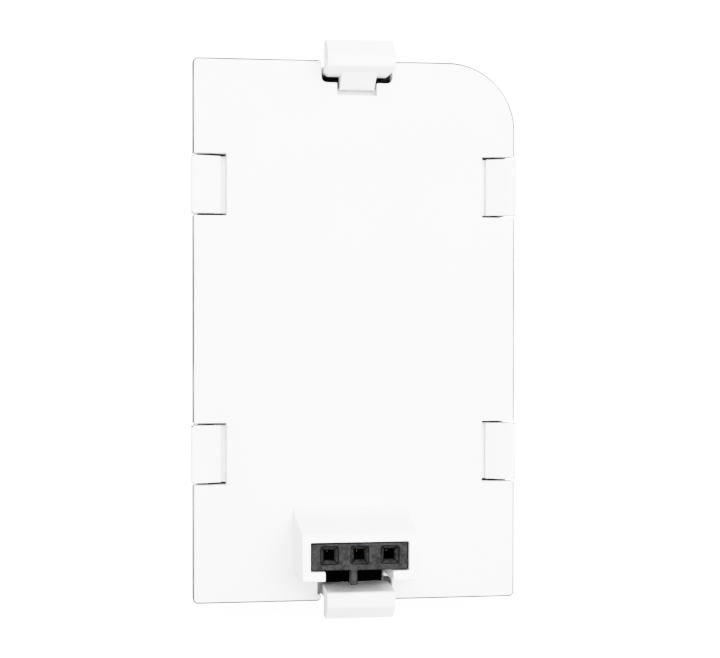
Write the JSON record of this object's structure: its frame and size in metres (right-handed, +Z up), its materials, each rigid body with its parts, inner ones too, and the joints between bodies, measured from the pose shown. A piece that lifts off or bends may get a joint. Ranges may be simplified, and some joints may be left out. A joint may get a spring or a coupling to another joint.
{
  "type": "clip-in battery module",
  "caption": "Slim clip-in rechargeable battery module with side snap arms, a sprung release latch, a fixed hook and a shrouded socket.",
  "frame": {"origin": "middle of the cover plate's outer face, which seats against the host's bay", "axes": "+X across the module, +Y into the case away from the seat face, +Z up the module towards the release latch"},
  "size_m": [0.0282, 0.0131, 0.0492],
  "materials": {
    "white_plastic": "satin moulded",
    "black_plastic": "matte glass-filled",
    "contact_metal": "gold flashed",
    "board": "satin solder mask",
    "package": "matte",
    "ceramic_part": "fired",
    "cell_pouch": "satin laminate",
    "nickel": "satin",
    "tape": "gloss film",
    "foam": "open cell",
    "label": "satin film"
  },
  "bodies": {
    "case": {"rear_tray": "white_plastic", "front_cover": "white_plastic", "socket_housing": "black_plastic", "contact_positive": "contact_metal", "contact_sense": "contact_metal", "contact_negative": "contact_metal", "protection_chip": "package", "switch_transistors": "package", "sense_resistor": "package", "fuse": "ceramic_part", "thermistor": "package", "filter_capacitor": "ceramic_part", "battery_cell": "cell_pouch", "protection_board": "board", "cell_tab_positive": "nickel", "cell_tab_negative": "nickel", "insulating_tape": "tape", "front_foam_pad": "foam", "rear_foam_pad": "foam", "end_foam_pad": "foam", "blank_label": "label"},
    "snap_left_upper": {"snap_arm_left_upper": "white_plastic"},
    "snap_left_lower": {"snap_arm_left_lower": "white_plastic"},
    "snap_right_upper": {"snap_arm_right_upper": "white_plastic"},
    "snap_right_lower": {"snap_arm_right_lower": "white_plastic"},
    "latch": {"release_latch": "white_plastic"}
  },
  "joints": [
    {"name": "latch_press", "type": "hinge", "parent": "case", "child": "latch", "pos_m": [0.0001, 0.0057, 0.0223], "axis": [1, 0, 0], "range_deg": [0, 4.5], "stiffness_Nm_per_rad": 0.7},
    {"name": "snap_left_upper_flex", "type": "hinge", "parent": "case", "child": "snap_left_upper", "pos_m": [-0.01313, 0.0057, 0.0125], "axis": [0, 0, -1], "range_deg": [0, 7], "stiffness_Nm_per_rad": 0.26},
    {"name": "snap_left_lower_flex", "type": "hinge", "parent": "case", "child": "snap_left_lower", "pos_m": [-0.01313, 0.0057, -0.0105], "axis": [0, 0, -1], "range_deg": [0, 7], "stiffness_Nm_per_rad": 0.26},
    {"name": "snap_right_upper_flex", "type": "hinge", "parent": "case", "child": "snap_right_upper", "pos_m": [0.01313, 0.0057, 0.0125], "axis": [0, 0, 1], "range_deg": [0, 7], "stiffness_Nm_per_rad": 0.26},
    {"name": "snap_right_lower_flex", "type": "hinge", "parent": "case", "child": "snap_right_lower", "pos_m": [0.01313, 0.0057, -0.0105], "axis": [0, 0, 1], "range_deg": [0, 7], "stiffness_Nm_per_rad": 0.26}
  ]
}
